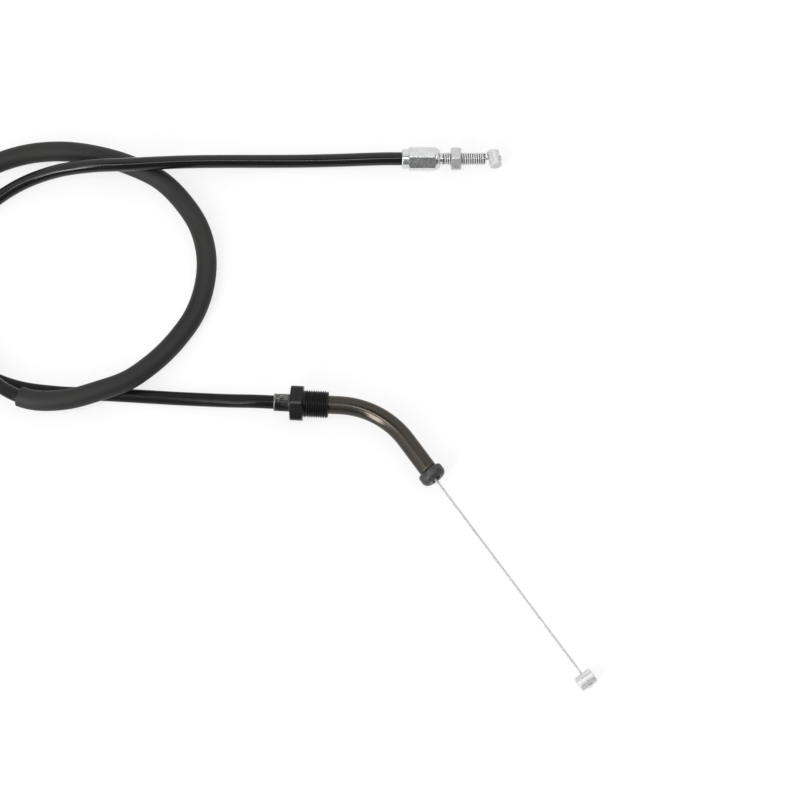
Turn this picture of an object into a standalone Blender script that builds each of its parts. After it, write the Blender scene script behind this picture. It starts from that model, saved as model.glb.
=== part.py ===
"""Throttle cable, laid out flat: a sheathed casing in one loop under a protective sleeve, a
hex adjuster with a threaded stud and lock nut at one end, a bent guide pipe with a threaded
union at the other, and an inner wire with a barrel nipple on each end. Metres, +Z up."""

from math import cos, pi, radians, sin, sqrt

import bmesh
import bpy
from mathutils import Matrix, Vector

MM = 0.001

# Clearances
GAP = 0.3 * MM
STOP_GAP = 0.3 * MM
CUT_BEYOND = 1.0 * MM

# Small edges that several pieces share
EDGE_BREAK = 0.4 * MM
HEX_RIM = 0.1 * MM

# Casing, from the wire outwards
WIRE_DIAMETER = 1.2 * MM
LINER_WALL = 0.3 * MM
CONDUIT_WALL = 0.7 * MM
SHEATH_WALL = 0.5 * MM
SLEEVE_WALL = 1.2 * MM
SLEEVE_START = 316.0 * MM
SLEEVE_LENGTH = 248.0 * MM
CORD_STEP = 14.0 * MM
CORD_LEAD = 7.0 * MM
CORD_TAIL = 8.0 * MM
BEND_STEP = 3.0 * MM

# Adjuster: a length of hexagon bar turned down to a collar, a cone and a stud
ADJUSTER_PLACE = Vector((-13.1, 118.3, 0.0)) * MM
ADJUSTER_FLATS = 10.0 * MM
ADJUSTER_CLOCKING = radians(16.2)
COLLAR_WALL = 1.15 * MM
COLLAR_LENGTH = 3.0 * MM
HEX_LENGTH = 12.3 * MM
CONE_LENGTH = 1.9 * MM
SHOULDER_DIAMETER = 6.8 * MM
NECK_DIAMETER = 5.0 * MM
NECK_LENGTH = 1.0 * MM
STUD_DIAMETER = 5.8 * MM
STUD_LENGTH = 19.4 * MM
STUD_CHAMFER = 0.5 * MM
CASING_SEAT = 14.2 * MM
HEX_CHAMFER = 0.45 * MM

# Lock nut on the stud
NUT_THICKNESS = 4.7 * MM
NUT_FLATS = 10.0 * MM
NUT_CLOCKING = radians(10.0)
NUT_ALONG = 21.9 * MM
NUT_CHAMFER = 0.75 * MM
NUT_RIM = 0.5 * MM

# Guide pipe, bent in one place
PIPE_HEADING = radians(-2.8)
PIPE_ROLL = radians(2.3)
PIPE_PLACE = Vector((-69.1, 2.3, 0.0)) * MM
PIPE_DIAMETER = 8.0 * MM
PIPE_WALL = 1.0 * MM
PIPE_INLET = 28.8 * MM
BEND_RADIUS = 38.0 * MM
BEND_ANGLE = radians(51.3)
PIPE_OUTLET = 16.7 * MM
SWAGE_WALL = 0.55 * MM
SWAGE_LENGTH = 7.0 * MM
SWAGE_TAPER = 0.6 * MM
SWAGE_LIP = 0.92
PIPE_SEAT = 11.0 * MM

# Union nut that turns on the pipe's straight inlet
UNION_FLATS = 15.0 * MM
UNION_CLOCKING = radians(14.0)
UNION_ALONG = 7.2 * MM
UNION_HEX = 5.7 * MM
UNION_RELIEF_DIAMETER = 11.4 * MM
UNION_RELIEF = 0.8 * MM
UNION_THREAD_DIAMETER = 12.0 * MM
UNION_THREAD = 9.4 * MM
UNION_PILOT_DIAMETER = 11.4 * MM
UNION_PILOT = 0.8 * MM
UNION_CHAMFER = 0.6 * MM
UNION_THREAD_CHAMFER = 0.5 * MM

# Cap on the pipe's mouth
CAP_DIAMETER = 11.4 * MM
CAP_LENGTH = 5.4 * MM
CAP_ROUNDING = 2.5 * MM
CAP_FOOT_ROUNDING = 0.9 * MM
CAP_SPIGOT = 8.0 * MM
MOUTH_DIAMETER = 4.2 * MM
MOUTH_DEPTH = 2.2 * MM
MOUTH_WAIST = (0.35, 0.4)

# Wire ends and barrel nipples
GRIP_NIPPLE_DIAMETER = 6.4 * MM
CARB_NIPPLE_DIAMETER = 5.4 * MM
NIPPLE_LENGTH = 7.6 * MM
NIPPLE_BEVEL = 0.35 * MM
NIPPLE_SIDES = 28
SOLDER_DIAMETER = 3.6 * MM
SOLDER_DEPTH = 1.1 * MM
SOLDER_DOME = 0.7 * MM
SOLDER_CROWN = ((0.45, 0.12), (0.8, 0.45))
CARB_NIPPLE_REACH = 3.9 * MM
CARB_NIPPLE_ROLL = radians(2.0)
CARB_NIPPLE_SKEW = radians(-12.0)
CARB_WIRE_HIDDEN = 37.2 * MM
GRIP_WIRE_FREE = 108.0 * MM
GRIP_WIRE_HIDDEN = 3.0 * MM
GRIP_NIPPLE_ROLL = radians(-6.0)
WIRE_STROKE = 30.0 * MM
WIRE_ENDS_GAP = 2.0 * MM

# The casing's route between its two seats, in millimetres
ROUTE_MM = (
    (-24.0, 118.3, 5.4),
    (-40.0, 118.3, 4.0),
    (-58.0, 118.2, 3.1),
    (-75.0, 117.8, 3.8),
    (-92.0, 116.8, 6.2),
    (-109.0, 115.2, 9.5),
    (-122.0, 113.6, 12.1),
    (-136.0, 112.5, 12.9),
    (-152.0, 112.1, 12.1),
    (-169.0, 110.6, 8.8),
    (-185.0, 105.6, 5.2),
    (-199.0, 96.0, 3.4),
    (-210.0, 83.0, 3.05),
    (-215.5, 68.0, 3.1),
    (-214.5, 52.0, 4.5),
    (-208.5, 36.0, 7.3),
    (-200.0, 21.5, 9.6),
    (-189.5, 9.5, 10.2),
    (-176.0, 3.0, 10.5),
    (-160.5, 2.6, 10.9),
    (-145.0, 6.8, 11.1),
    (-133.4, 11.5, 10.4),
    (-123.8, 19.2, 8.3),
    (-111.7, 33.3, 5.4),
    (-104.9, 44.5, 4.6),
    (-100.9, 57.5, 4.55),
    (-100.2, 71.5, 4.55),
    (-103.7, 85.5, 4.55),
    (-111.2, 97.7, 4.55),
    (-121.8, 108.5, 4.55),
    (-133.6, 114.8, 4.55),
    (-149.1, 119.9, 4.55),
    (-166.0, 122.3, 4.55),
    (-185.0, 120.2, 4.55),
    (-202.0, 112.8, 4.6),
    (-215.0, 100.5, 4.0),
    (-223.0, 84.5, 3.05),
    (-225.5, 67.0, 3.05),
    (-222.5, 49.0, 3.05),
    (-214.0, 32.5, 3.05),
    (-201.0, 19.5, 3.05),
    (-184.0, 11.5, 3.05),
    (-165.0, 8.4, 3.05),
    (-145.8, 7.7, 3.05),
    (-128.2, 6.7, 3.05),
    (-112.3, 5.7, 3.1),
    (-100.0, 4.8, 4.0),
    (-88.0, 3.7, 5.9),
)

COLLECTION = "throttle_cable"
ROUND_STEPS = 32
NIPPLE_STEPS = 20
PIPE_ROUNDNESS = 6
CORD_ROUNDNESS = 2
WIRE_STEPS = 12


def clear_scene():
    for found in list(bpy.data.objects):
        bpy.data.objects.remove(found, do_unlink=True)


def new_collection(name):
    made = bpy.data.collections.new(name)
    bpy.context.scene.collection.children.link(made)
    return made


def finish(name, colour, roughness, metallic):
    material = bpy.data.materials.new(name)
    material.use_nodes = True
    shader = material.node_tree.nodes["Principled BSDF"]
    shader.inputs["Base Color"].default_value = (*colour, 1.0)
    shader.inputs["Roughness"].default_value = roughness
    shader.inputs["Metallic"].default_value = metallic
    return material


# Sizes that follow from the driving dimensions
WIRE_RADIUS = WIRE_DIAMETER / 2
LINER_BORE = WIRE_RADIUS + GAP
LINER_RADIUS = LINER_BORE + LINER_WALL
CONDUIT_BORE = LINER_RADIUS + GAP
CONDUIT_RADIUS = CONDUIT_BORE + CONDUIT_WALL
SHEATH_BORE = CONDUIT_RADIUS + GAP
CASING_RADIUS = SHEATH_BORE + SHEATH_WALL
SLEEVE_RADIUS = CASING_RADIUS + GAP + SLEEVE_WALL
SEAT_RADIUS = CASING_RADIUS + GAP
COLLAR_RADIUS = SEAT_RADIUS + COLLAR_WALL
STUD_START = COLLAR_LENGTH + HEX_LENGTH + CONE_LENGTH + NECK_LENGTH
ADJUSTER_LENGTH = STUD_START + STUD_LENGTH
PIPE_RADIUS = PIPE_DIAMETER / 2
PIPE_BORE = PIPE_RADIUS - PIPE_WALL
SWAGE_RADIUS = SEAT_RADIUS + SWAGE_WALL
PIPE_LENGTH = PIPE_INLET + BEND_RADIUS * BEND_ANGLE + PIPE_OUTLET


def hex_drop(flats, clocking):
    """How far a hexagon's lowest corner lies under its axis, at a clocking from flat side up."""
    corner = flats / sqrt(3)
    return corner * max(sin(clocking + pi / 3 * k) for k in range(6))


def axis_frame(place, direction):
    """A frame whose Z runs along direction and whose Y is as near to world up as it can be."""
    along = Vector(direction).normalized()
    side = Vector((0.0, 0.0, 1.0)).cross(along).normalized()
    up = along.cross(side)
    frame = Matrix((-side, up, along)).transposed().to_4x4()
    frame.translation = place
    return frame


ADJUSTER_HEIGHT = hex_drop(ADJUSTER_FLATS, ADJUSTER_CLOCKING)
ADJUSTER_FRAME = axis_frame(ADJUSTER_PLACE + Vector((0, 0, ADJUSTER_HEIGHT)), (1, 0, 0))
PIPE_HEIGHT = hex_drop(UNION_FLATS, UNION_CLOCKING)
PIPE_PLANE = (
    Matrix.Translation(PIPE_PLACE + Vector((0, 0, PIPE_HEIGHT)))
    @ Matrix.Rotation(PIPE_HEADING, 4, "Z")
    @ Matrix.Rotation(PIPE_ROLL, 4, "X")
)


def pipe_point(along):
    """The guide pipe's centreline in its own plane, at a distance from its inlet end."""
    if along <= PIPE_INLET:
        return Vector((along, 0.0, 0.0))
    turned = min((along - PIPE_INLET) / BEND_RADIUS, BEND_ANGLE)
    bend = Vector((PIPE_INLET + BEND_RADIUS * sin(turned), BEND_RADIUS * (cos(turned) - 1), 0.0))
    beyond = along - PIPE_INLET - BEND_RADIUS * BEND_ANGLE
    if beyond <= 0:
        return bend
    return bend + beyond * Vector((cos(BEND_ANGLE), -sin(BEND_ANGLE), 0.0))


def pipe_stations(start, end, step):
    """Distances along the pipe from start to end, close together only where it bends."""
    count = max(2, round(BEND_RADIUS * BEND_ANGLE / step))
    bend = [PIPE_INLET + BEND_RADIUS * BEND_ANGLE * k / count for k in range(count + 1)]
    return [start] + [s for s in bend if start + GAP < s < end - GAP] + [end]


def in_world(points):
    return [PIPE_PLANE @ point for point in points]


PIPE_FRAME = axis_frame(PIPE_PLANE.translation, PIPE_PLANE.to_3x3() @ Vector((1, 0, 0)))
OUTLET_DIRECTION = PIPE_PLANE.to_3x3() @ Vector((cos(BEND_ANGLE), -sin(BEND_ANGLE), 0.0))
OUTLET_FRAME = axis_frame(PIPE_PLANE @ pipe_point(PIPE_LENGTH), OUTLET_DIRECTION)


def smooth_line(points, per_span=24):
    """A smooth curve through the points, as many short steps: a cubic in each span, whose slope
    at each point is that of the circle-like curve through it and its two neighbours."""
    spans = [(b - a).length for a, b in zip(points, points[1:])]
    slopes = [(points[1] - points[0]) / spans[0]]
    for i in range(1, len(points) - 1):
        before, after = spans[i - 1], spans[i]
        arriving = (points[i] - points[i - 1]) / before
        leaving = (points[i + 1] - points[i]) / after
        slopes.append((arriving * after + leaving * before) / (before + after))
    slopes.append((points[-1] - points[-2]) / spans[-1])
    line = []
    for i, span in enumerate(spans):
        for k in range(per_span):
            t = k / per_span
            line.append(
                points[i] * (2 * t**3 - 3 * t**2 + 1)
                + slopes[i] * span * (t**3 - 2 * t**2 + t)
                + points[i + 1] * (3 * t**2 - 2 * t**3)
                + slopes[i + 1] * span * (t**3 - t**2)
            )
    return line + [points[-1]]


def stretch(line, start, end=None, step=None):
    """The part of a line between two distances along it, or on to its end, with its own points
    kept, or with evenly spaced points about a step apart."""
    ends = [0.0]
    for a, b in zip(line, line[1:]):
        ends.append(ends[-1] + (b - a).length)
    end = min(end or ends[-1], ends[-1])
    wanted = [s for s in ends if start < s < end]
    if step:
        count = round((end - start) / step)
        wanted = [start + (end - start) * k / count for k in range(1, count)]
    found = []
    span = 0
    for s in [start, *wanted, end]:
        while span < len(line) - 2 and ends[span + 1] < s:
            span += 1
        share = (s - ends[span]) / (ends[span + 1] - ends[span])
        found.append(line[span].lerp(line[span + 1], share))
    return found


def casing_line():
    """The casing's centreline, from its seat in the adjuster to its seat in the pipe."""
    straight_in = [CASING_SEAT - STOP_GAP, CASING_SEAT - CORD_LEAD, 0.0, -CORD_LEAD]
    straight_out = [-CORD_TAIL, 0.0, PIPE_SEAT - STOP_GAP]
    points = [ADJUSTER_FRAME @ Vector((0.0, 0.0, along)) for along in straight_in]
    points += [Vector(point) * MM for point in ROUTE_MM]
    points += [PIPE_FRAME @ Vector((0.0, 0.0, along)) for along in straight_out]
    fine = smooth_line(points)
    return stretch(fine, 0.0, step=CORD_STEP)


def add_curve(name, points, radius, resolution, shares=None, caps=True):
    """A tube along a polyline; shares scales its radius point by point."""
    data = bpy.data.curves.new(name, "CURVE")
    data.dimensions = "3D"
    data.twist_mode = "Z_UP"
    data.bevel_depth = radius
    data.bevel_resolution = resolution
    data.use_fill_caps = caps
    spline = data.splines.new("POLY")
    spline.points.add(len(points) - 1)
    for i, (slot, point) in enumerate(zip(spline.points, points)):
        slot.co = (*point, 1.0)
        slot.radius = shares[i] if shares else 1.0
    return bpy.data.objects.new(name, data)


def cord(name, points, radius, material, home, wall=None):
    """A flexible piece: a rod, or with a wall a tube that is open at both ends."""
    made = add_curve(name, points, radius, CORD_ROUNDNESS, caps=wall is None)
    made.data.materials.append(material)
    home.objects.link(made)
    if wall:
        shell = made.modifiers.new("wall", "SOLIDIFY")
        shell.thickness = wall
        shell.offset = -1.0
        shell.use_even_offset = True
    return made


def mesh_of(tube):
    """The mesh of a tube object with its caps welded on; the tube itself goes."""
    bpy.context.scene.collection.objects.link(tube)
    bpy.context.view_layer.update()
    graph = bpy.context.evaluated_depsgraph_get()
    mesh = bpy.data.meshes.new_from_object(tube.evaluated_get(graph))
    shell = bmesh.new()
    shell.from_mesh(mesh)
    bmesh.ops.remove_doubles(shell, verts=shell.verts, dist=0.001 * MM)
    bmesh.ops.recalc_face_normals(shell, faces=shell.faces)
    shell.to_mesh(mesh)
    shell.free()
    bpy.data.objects.remove(tube)
    return mesh


def shade_round(made, angle=35.0):
    made.data.shade_smooth()
    made.data.set_sharp_from_angle(angle=radians(angle))


def add_cutter(name, mesh, cutters, parent=None, matrix=None):
    tool = bpy.data.objects.new(name, mesh)
    tool.hide_render = True
    tool.display_type = "WIRE"
    tool.parent = parent
    tool.matrix_local = matrix or Matrix.Identity(4)
    cutters.objects.link(tool)
    return tool


def add_boolean(made, tool, operation):
    cut = made.modifiers.new(tool.name, "BOOLEAN")
    cut.operation = operation
    cut.object = tool
    cut.solver = "EXACT"


def add_axis(name, frame, home):
    """An empty on an axis, which carries the pieces that lie on it."""
    empty = bpy.data.objects.new(name, None)
    empty.empty_display_size = 5 * MM
    empty.matrix_world = frame
    home.objects.link(empty)
    return empty


def ring_mesh(name, outline):
    """A closed outline of (radius, height) points in the XZ plane, ready for a Screw."""
    ring = bmesh.new()
    corners = [ring.verts.new((r, 0.0, z)) for r, z in outline]
    for a, b in zip(corners, corners[1:] + corners[:1]):
        ring.edges.new((a, b))
    mesh = bpy.data.meshes.new(name)
    ring.to_mesh(mesh)
    ring.free()
    return mesh


def open_mesh(name, outline):
    """An outline that starts and ends on the axis."""
    ring = bmesh.new()
    corners = [ring.verts.new((r, 0.0, z)) for r, z in outline]
    for a, b in zip(corners, corners[1:]):
        ring.edges.new((a, b))
    mesh = bpy.data.meshes.new(name)
    ring.to_mesh(mesh)
    ring.free()
    return mesh


def turn(made, steps=ROUND_STEPS):
    screw = made.modifiers.new("turn", "SCREW")
    screw.axis = "Z"
    screw.steps = steps
    screw.render_steps = steps
    screw.use_merge_vertices = True
    screw.merge_threshold = 0.005 * MM
    screw.use_smooth_shade = True


def turned(name, mesh, material, home, parent, along=0.0, clocking=0.0, steps=ROUND_STEPS):
    """A piece turned about its parent's axis. Its outline runs down the outer side first."""
    made = bpy.data.objects.new(name, mesh)
    made.data.materials.append(material)
    made.parent = parent
    made.location = (0.0, 0.0, along)
    made.rotation_euler = (0.0, 0.0, clocking)
    home.objects.link(made)
    turn(made, steps)
    return made


def hexagon_bar(made, flats, length, clocking, cutters):
    """Trims a turned piece to a bar of this size across flats, as if turned from it."""
    bar = bmesh.new()
    corner = flats / sqrt(3)
    bmesh.ops.create_cone(
        bar, cap_ends=True, segments=6, radius1=corner, radius2=corner, depth=length * 2
    )
    bmesh.ops.rotate(bar, verts=bar.verts, matrix=Matrix.Rotation(clocking + pi / 6, 3, "Z"))
    mesh = bpy.data.meshes.new(made.name + "_bar")
    bar.to_mesh(mesh)
    bar.free()
    place = Matrix.Translation((0.0, 0.0, made.location.z + length / 2))
    tool = add_cutter(mesh.name, mesh, cutters, made.parent, place)
    add_boolean(made, tool, "INTERSECT")


def quarter(centre_r, centre_z, radius, start, end, count=5):
    """Points of an arc in an outline, from one angle to another in degrees."""
    angles = [radians(start + (end - start) * k / count) for k in range(count + 1)]
    return [(centre_r + radius * cos(a), centre_z + radius * sin(a)) for a in angles]


def build_adjuster(home, cutters, axis, zinc):
    corner = ADJUSTER_FLATS / sqrt(3)
    stud = STUD_DIAMETER / 2
    neck = NECK_DIAMETER / 2
    bore = LINER_BORE
    cone_start = COLLAR_LENGTH + HEX_LENGTH
    shoulder = cone_start + CONE_LENGTH
    outline = [
        (bore + EDGE_BREAK, ADJUSTER_LENGTH),
        (stud - STUD_CHAMFER, ADJUSTER_LENGTH),
        (stud, ADJUSTER_LENGTH - STUD_CHAMFER),
        (stud, STUD_START + STUD_CHAMFER),
        (neck, STUD_START),
        (neck, shoulder),
        (SHOULDER_DIAMETER / 2, shoulder),
        (ADJUSTER_FLATS / 2 - HEX_RIM, cone_start),
        (corner, cone_start - 2 * HEX_CHAMFER),
        (corner, COLLAR_LENGTH + HEX_CHAMFER),
        (ADJUSTER_FLATS / 2 - HEX_RIM, COLLAR_LENGTH),
        (COLLAR_RADIUS, COLLAR_LENGTH),
        (COLLAR_RADIUS, EDGE_BREAK),
        (COLLAR_RADIUS - EDGE_BREAK, 0.0),
        (SEAT_RADIUS, 0.0),
        (SEAT_RADIUS, CASING_SEAT),
        (bore, CASING_SEAT),
        (bore, ADJUSTER_LENGTH - EDGE_BREAK),
    ]
    made = turned("adjuster_body", ring_mesh("adjuster_body", outline), zinc, home, axis)
    hexagon_bar(made, ADJUSTER_FLATS, ADJUSTER_LENGTH, ADJUSTER_CLOCKING, cutters)


def build_lock_nut(home, cutters, axis, zinc):
    corner = NUT_FLATS / sqrt(3)
    flat = NUT_FLATS / 2
    bore = STUD_DIAMETER / 2 + GAP
    outline = [
        (bore + EDGE_BREAK, NUT_THICKNESS),
        (flat - NUT_RIM, NUT_THICKNESS),
        (corner, NUT_THICKNESS - NUT_CHAMFER),
        (corner, NUT_CHAMFER),
        (flat - NUT_RIM, 0.0),
        (bore + EDGE_BREAK, 0.0),
        (bore, EDGE_BREAK),
        (bore, NUT_THICKNESS - EDGE_BREAK),
    ]
    mesh = ring_mesh("lock_nut", outline)
    made = turned("lock_nut", mesh, zinc, home, axis, NUT_ALONG)
    hexagon_bar(made, NUT_FLATS, NUT_THICKNESS, NUT_CLOCKING, cutters)


def build_union(home, cutters, axis, black):
    corner = UNION_FLATS / sqrt(3)
    flat = UNION_FLATS / 2
    bore = PIPE_RADIUS + GAP
    relief = UNION_HEX + UNION_RELIEF
    thread = relief + UNION_THREAD
    length = thread + UNION_PILOT
    outline = [
        (bore, length),
        (UNION_PILOT_DIAMETER / 2 - EDGE_BREAK, length),
        (UNION_PILOT_DIAMETER / 2, length - EDGE_BREAK),
        (UNION_PILOT_DIAMETER / 2, thread),
        (UNION_THREAD_DIAMETER / 2, thread - UNION_THREAD_CHAMFER),
        (UNION_THREAD_DIAMETER / 2, relief + EDGE_BREAK),
        (UNION_RELIEF_DIAMETER / 2, relief),
        (UNION_RELIEF_DIAMETER / 2, UNION_HEX),
        (flat - HEX_RIM, UNION_HEX),
        (corner, UNION_HEX - UNION_CHAMFER),
        (corner, UNION_CHAMFER),
        (flat - HEX_RIM, 0.0),
        (bore, 0.0),
    ]
    mesh = ring_mesh("union_nut", outline)
    made = turned("union_nut", mesh, black, home, axis, UNION_ALONG)
    hexagon_bar(made, UNION_FLATS, length, UNION_CLOCKING, cutters)


def build_pipe(home, cutters, black):
    swage_end = SWAGE_LENGTH - SWAGE_TAPER
    stations = [0.0, EDGE_BREAK, swage_end, SWAGE_LENGTH]
    shares = [SWAGE_LIP, 1.0, 1.0, PIPE_RADIUS / SWAGE_RADIUS]
    beyond = pipe_stations(PIPE_INLET, PIPE_LENGTH, BEND_STEP)
    points = in_world([pipe_point(s) for s in stations + beyond])
    shares += [PIPE_RADIUS / SWAGE_RADIUS] * len(beyond)
    mesh = mesh_of(add_curve("guide_pipe", points, SWAGE_RADIUS, PIPE_ROUNDNESS, shares))
    made = bpy.data.objects.new("guide_pipe", mesh)
    made.data.materials.append(black)
    home.objects.link(made)
    shade_round(made)
    stations = [-CUT_BEYOND, PIPE_SEAT, PIPE_SEAT + EDGE_BREAK]
    stations += [*beyond[:-1], PIPE_LENGTH + CUT_BEYOND]
    points = [pipe_point(s) for s in stations]
    shares = [1.0, 1.0] + [PIPE_BORE / SEAT_RADIUS] * (len(stations) - 2)
    mesh = mesh_of(add_curve("pipe_bore", in_world(points), SEAT_RADIUS, PIPE_ROUNDNESS, shares))
    tool = add_cutter("pipe_bore", mesh, cutters)
    add_boolean(made, tool, "DIFFERENCE")


def build_cap(home, axis, plastic):
    """The mouth's cap: a rounded head, and a spigot inside the pipe."""
    head = CAP_DIAMETER / 2
    spigot = PIPE_BORE - GAP
    base = GAP
    top = base + CAP_LENGTH
    mouth = MOUTH_DIAMETER / 2
    brow = CAP_ROUNDING
    foot = CAP_FOOT_ROUNDING
    across, down = MOUTH_WAIST
    outline = [
        (mouth, top),
        *quarter(head - brow, top - brow, brow, 90, 0),
        *quarter(head - foot, base + foot, foot, 0, -90, 3),
        (spigot, base),
        (spigot, -CAP_SPIGOT),
        (LINER_BORE, -CAP_SPIGOT),
        (LINER_BORE, top - MOUTH_DEPTH),
        (LINER_BORE + across * (mouth - LINER_BORE), top - down * MOUTH_DEPTH),
    ]
    turned("pipe_cap", ring_mesh("pipe_cap", outline), plastic, home, axis)


def rod_on_axis(name, start, end, material, home, axis):
    """A straight stretch of wire on its parent's axis."""
    outline = [(0.0, end), (WIRE_RADIUS, end), (WIRE_RADIUS, start), (0.0, start)]
    turned(name, open_mesh(name, outline), material, home, axis, steps=WIRE_STEPS)


def build_nipple(name, home, cutters, axis, along, shape, material, solder):
    """A barrel across the wire, drilled for it, with the solder that holds the wire's end.
    shape is its diameter, its roll about the wire and its skew from square to it."""
    diameter, roll, skew = shape
    radius = diameter / 2
    barrel = bmesh.new()
    bmesh.ops.create_cone(
        barrel, cap_ends=True, segments=NIPPLE_SIDES, radius1=radius, radius2=radius, depth=NIPPLE_LENGTH
    )
    bmesh.ops.rotate(barrel, verts=barrel.verts, matrix=Matrix.Rotation(pi / 2, 3, "X"))
    mesh = bpy.data.meshes.new(name)
    barrel.to_mesh(mesh)
    barrel.free()
    made = bpy.data.objects.new(name, mesh)
    made.data.materials.append(material)
    made.parent = axis
    made.location = (0.0, 0.0, along)
    turned_round = Matrix.Rotation(pi / 2 + roll, 3, "Z") @ Matrix.Rotation(skew, 3, "X")
    made.rotation_euler = turned_round.to_euler()
    home.objects.link(made)
    edge = made.modifiers.new("edge", "BEVEL")
    edge.width = NIPPLE_BEVEL
    edge.segments = 2
    edge.limit_method = "ANGLE"
    edge.angle_limit = radians(60)
    shade_round(made)
    far = radius / cos(skew)
    outline = [
        (0.0, far + CUT_BEYOND),
        (SOLDER_DIAMETER / 2, far + CUT_BEYOND),
        (SOLDER_DIAMETER / 2, far),
        (LINER_BORE, far - SOLDER_DEPTH),
        (LINER_BORE, -far - CUT_BEYOND),
        (0.0, -far - CUT_BEYOND),
    ]
    tool = add_cutter(name + "_drill", open_mesh(name + "_drill", outline), cutters, axis)
    tool.location = (0.0, 0.0, along)
    turn(tool, NIPPLE_STEPS)
    add_boolean(made, tool, "DIFFERENCE")
    crown = far + SOLDER_DOME
    foot = far - SOLDER_DEPTH + GAP
    brim = SOLDER_DIAMETER / 2 - GAP
    outline = [
        (0.0, crown),
        *[(out * brim, crown - down * SOLDER_DOME) for out, down in SOLDER_CROWN],
        (brim, far),
        (WIRE_RADIUS, foot),
        (0.0, foot),
    ]
    bead = name.replace("nipple", "solder")
    turned(bead, open_mesh(bead, outline), solder, home, axis, along, steps=NIPPLE_STEPS)
    return along + foot - STOP_GAP


def build_cords(home, rubber, jacket, spiral, plastic, steel):
    line = casing_line()
    cord("casing_sheath", line, CASING_RADIUS, jacket, home, SHEATH_WALL)
    cord("casing_conduit", line, CONDUIT_RADIUS, spiral, home, CONDUIT_WALL)
    cord("casing_liner", line, LINER_RADIUS, plastic, home, LINER_WALL)
    sleeve = stretch(line, SLEEVE_START, SLEEVE_START + SLEEVE_LENGTH)
    cord("sleeve", sleeve, SLEEVE_RADIUS, rubber, home, SLEEVE_WALL)
    inside = GRIP_WIRE_HIDDEN + WIRE_STROKE + WIRE_ENDS_GAP
    last = PIPE_LENGTH + GAP + CAP_LENGTH - inside
    first = CASING_SEAT - (ADJUSTER_LENGTH - CARB_WIRE_HIDDEN)
    hidden = stretch(line, first)
    ahead = in_world([pipe_point(s) for s in pipe_stations(PIPE_SEAT, last, BEND_STEP)[1:]])
    cord("inner_wire", hidden + ahead, WIRE_RADIUS, steel, home)


def main():
    clear_scene()
    home = new_collection(COLLECTION)
    cutters = new_collection("cutters")
    cutters.hide_render = True
    zinc = finish("bright_zinc", (0.78, 0.80, 0.80), 0.28, 1.0)
    black = finish("black_nickel", (0.045, 0.040, 0.034), 0.24, 0.7)
    black_steel = finish("black_oxide", (0.03, 0.03, 0.03), 0.42, 0.5)
    jacket = finish("black_vinyl", (0.012, 0.012, 0.012), 0.25, 0.0)
    rubber = finish("black_rubber", (0.04, 0.04, 0.04), 0.6, 0.0)
    plastic = finish("dark_plastic", (0.05, 0.05, 0.05), 0.4, 0.0)
    white_plastic = finish("white_liner", (0.85, 0.85, 0.82), 0.4, 0.0)
    steel = finish("wire_steel", (0.7, 0.7, 0.68), 0.35, 1.0)
    cast = finish("cast_nipple", (0.75, 0.75, 0.74), 0.4, 1.0)
    solder = finish("solder", (0.7, 0.7, 0.7), 0.3, 1.0)

    carb_axis = add_axis("stud_axis", ADJUSTER_FRAME, home)
    build_adjuster(home, cutters, carb_axis, zinc)
    build_lock_nut(home, cutters, carb_axis, zinc)
    reach = ADJUSTER_LENGTH + CARB_NIPPLE_REACH
    shape = (CARB_NIPPLE_DIAMETER, CARB_NIPPLE_ROLL, CARB_NIPPLE_SKEW)
    tip = build_nipple("carb_nipple", home, cutters, carb_axis, reach, shape, cast, solder)
    start = ADJUSTER_LENGTH - CARB_WIRE_HIDDEN
    rod_on_axis("carb_wire_end", start, tip, steel, home, carb_axis)

    pipe_axis = add_axis("pipe_axis", PIPE_FRAME, home)
    build_pipe(home, cutters, black)
    build_union(home, cutters, pipe_axis, black_steel)
    outlet_axis = add_axis("outlet_axis", OUTLET_FRAME, home)
    build_cap(home, outlet_axis, plastic)
    mouth = GAP + CAP_LENGTH
    reach = mouth + GRIP_WIRE_FREE
    shape = (GRIP_NIPPLE_DIAMETER, GRIP_NIPPLE_ROLL, 0.0)
    tip = build_nipple("grip_nipple", home, cutters, outlet_axis, reach, shape, cast, solder)
    rod_on_axis("grip_wire_end", mouth - GRIP_WIRE_HIDDEN, tip, steel, home, outlet_axis)

    build_cords(home, rubber, jacket, spiral=steel, plastic=white_plastic, steel=steel)


main()
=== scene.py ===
"""Looks of the throttle cable: its finishes, threads and strands, the light and the camera.
Metres, +Z up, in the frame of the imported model."""

from math import cos, pi, radians, sin, sqrt, tau

import bmesh
import bpy
from mathutils import Matrix, Vector


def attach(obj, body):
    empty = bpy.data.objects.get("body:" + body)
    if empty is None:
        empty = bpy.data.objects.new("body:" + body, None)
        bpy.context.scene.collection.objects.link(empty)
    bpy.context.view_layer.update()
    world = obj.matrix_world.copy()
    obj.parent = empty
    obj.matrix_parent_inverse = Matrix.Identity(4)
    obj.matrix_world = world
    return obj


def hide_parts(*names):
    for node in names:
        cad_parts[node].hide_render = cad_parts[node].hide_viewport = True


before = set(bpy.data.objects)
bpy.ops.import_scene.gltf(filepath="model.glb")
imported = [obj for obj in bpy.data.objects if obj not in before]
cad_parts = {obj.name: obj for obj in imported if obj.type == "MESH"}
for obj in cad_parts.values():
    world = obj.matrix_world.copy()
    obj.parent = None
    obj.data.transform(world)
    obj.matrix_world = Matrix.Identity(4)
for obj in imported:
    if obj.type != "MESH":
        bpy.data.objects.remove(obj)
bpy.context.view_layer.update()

MM = 0.001

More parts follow.
